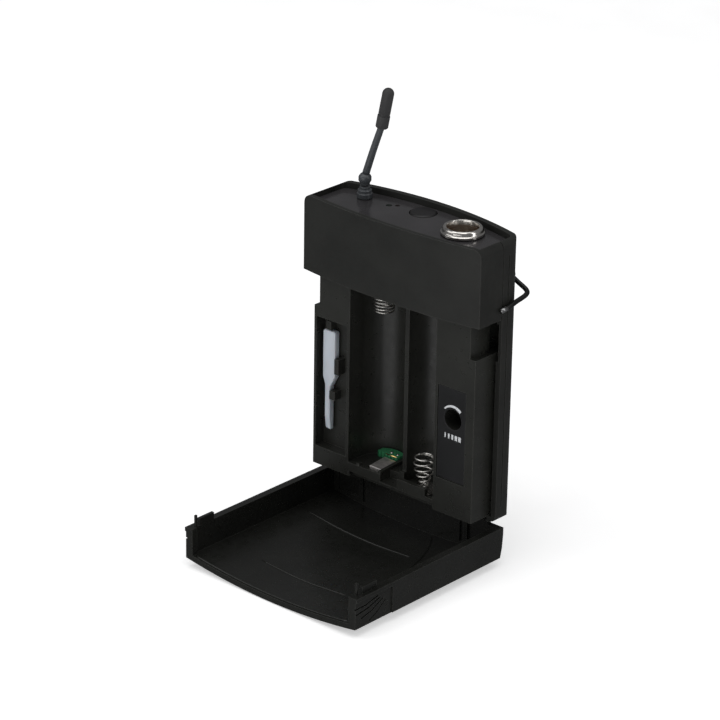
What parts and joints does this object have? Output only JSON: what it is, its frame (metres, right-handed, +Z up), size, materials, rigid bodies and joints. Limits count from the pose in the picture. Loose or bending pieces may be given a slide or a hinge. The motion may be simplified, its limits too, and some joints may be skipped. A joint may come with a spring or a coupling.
{
  "type": "wireless bodypack transmitter",
  "caption": "Belt-worn radio transmitter with fold-down battery door, flexible whip antenna, mini-XLR input, push button, recessed gain trimmer and wire belt clip.",
  "frame": {"origin": "centre of the bounding box at its lowest face, the crown of the open battery door that the transmitter stands on", "axes": "+Z up along the case, -Y out of the battery side, +X towards the connector"},
  "size_m": [0.0684, 0.0736, 0.1319],
  "materials": {
    "case": "fine spark-eroded texture",
    "frame": "satin moulded",
    "door": "satin moulded",
    "panel": "semi-gloss",
    "button": "satin",
    "lens_green": "unlit lens",
    "lens_red": "unlit lens",
    "component": "moulded epoxy",
    "nickel": "bright nickel plate",
    "steel": "plated steel",
    "insert": "brown phenolic",
    "gold": "gold flash",
    "antenna": "smooth jacket",
    "rubber": "matt moulded",
    "clip_wire": "black oxide",
    "spring_steel": "bright spring wire",
    "board": "solder mask",
    "tool": "natural nylon",
    "label": "printed film"
  },
  "bodies": {
    "root": {"head_housing": "case", "rear_shell": "case", "battery_frame": "frame", "hinge_pin_left": "steel", "hinge_pin_right": "steel", "top_panel": "panel", "led_power": "lens_green", "led_mute": "lens_red", "tact_switch": "component", "connector_ring": "nickel", "connector_insert": "insert", "connector_pin_1": "gold", "connector_pin_2": "gold", "connector_pin_3": "gold", "connector_pin_4": "gold", "antenna_collar": "antenna", "spring_plate_left": "nickel", "spring_plate_right": "nickel", "contact_left": "nickel", "contact_right": "nickel", "contact_board": "board", "main_board": "board", "rf_shield": "nickel", "control_board": "board", "trimmer_body": "component", "gain_label": "label", "case_screw_1": "steel", "case_screw_2": "steel", "case_screw_3": "steel", "case_screw_4": "steel"},
    "battery_door": {"battery_door": "door"},
    "belt_clip": {"belt_clip": "clip_wire"},
    "mute_button": {"mute_button": "button"},
    "gain_rotor": {"gain_rotor": "component"},
    "trim_tool": {"trim_tool": "tool"},
    "antenna_bead": {"antenna_bead": "antenna"},
    "antenna_whip": {"antenna_rod": "antenna", "antenna_tip": "rubber"},
    "cell_spring_left": {"cell_spring_left": "spring_steel"},
    "cell_spring_right": {"cell_spring_right": "spring_steel"}
  },
  "joints": [
    {"name": "door_hinge", "type": "hinge", "parent": "root", "child": "battery_door", "pos_m": [0, 0.02403, 0.01512], "axis": [-1, 0, 0], "range_deg": [0, 90]},
    {"name": "clip_spring", "type": "hinge", "parent": "root", "child": "belt_clip", "pos_m": [0, 0.0211, 0.07949], "axis": [1, 0, 0], "range_deg": [0, 12], "stiffness_Nm_per_rad": 0.2},
    {"name": "button_press", "type": "slide", "parent": "root", "child": "mute_button", "axis": [0, 0, -1], "range_m": [0, 0.0004], "stiffness_N_per_m": 300},
    {"name": "gain_turn", "type": "hinge", "parent": "root", "child": "gain_rotor", "pos_m": [0.0223, 0.0189, 0.04559], "axis": [0, -1, 0], "range_deg": [-135, 135]},
    {"name": "tool_pull", "type": "slide", "parent": "root", "child": "trim_tool", "axis": [0, -1, 0], "range_m": [0, 0.02]},
    {"name": "antenna_nod", "type": "hinge", "parent": "root", "child": "antenna_bead", "pos_m": [-0.021, 0.0241, 0.10294], "axis": [1, 0, 0], "range_deg": [-30, 20], "stiffness_Nm_per_rad": 0.01},
    {"name": "antenna_sway", "type": "hinge", "parent": "antenna_bead", "child": "antenna_whip", "pos_m": [-0.021, 0.0241, 0.10294], "axis": [0, 1, 0], "range_deg": [-60, 30], "stiffness_Nm_per_rad": 0.01},
    {"name": "spring_left_squeeze", "type": "slide", "parent": "root", "child": "cell_spring_left", "axis": [0, 0, 1], "range_m": [0, 0.0035], "stiffness_N_per_m": 300, "deforming": ["cell_spring_left"]},
    {"name": "spring_right_squeeze", "type": "slide", "parent": "root", "child": "cell_spring_right", "axis": [0, 0, -1], "range_m": [0, 0.0045], "stiffness_N_per_m": 200, "deforming": ["cell_spring_right"]}
  ]
}
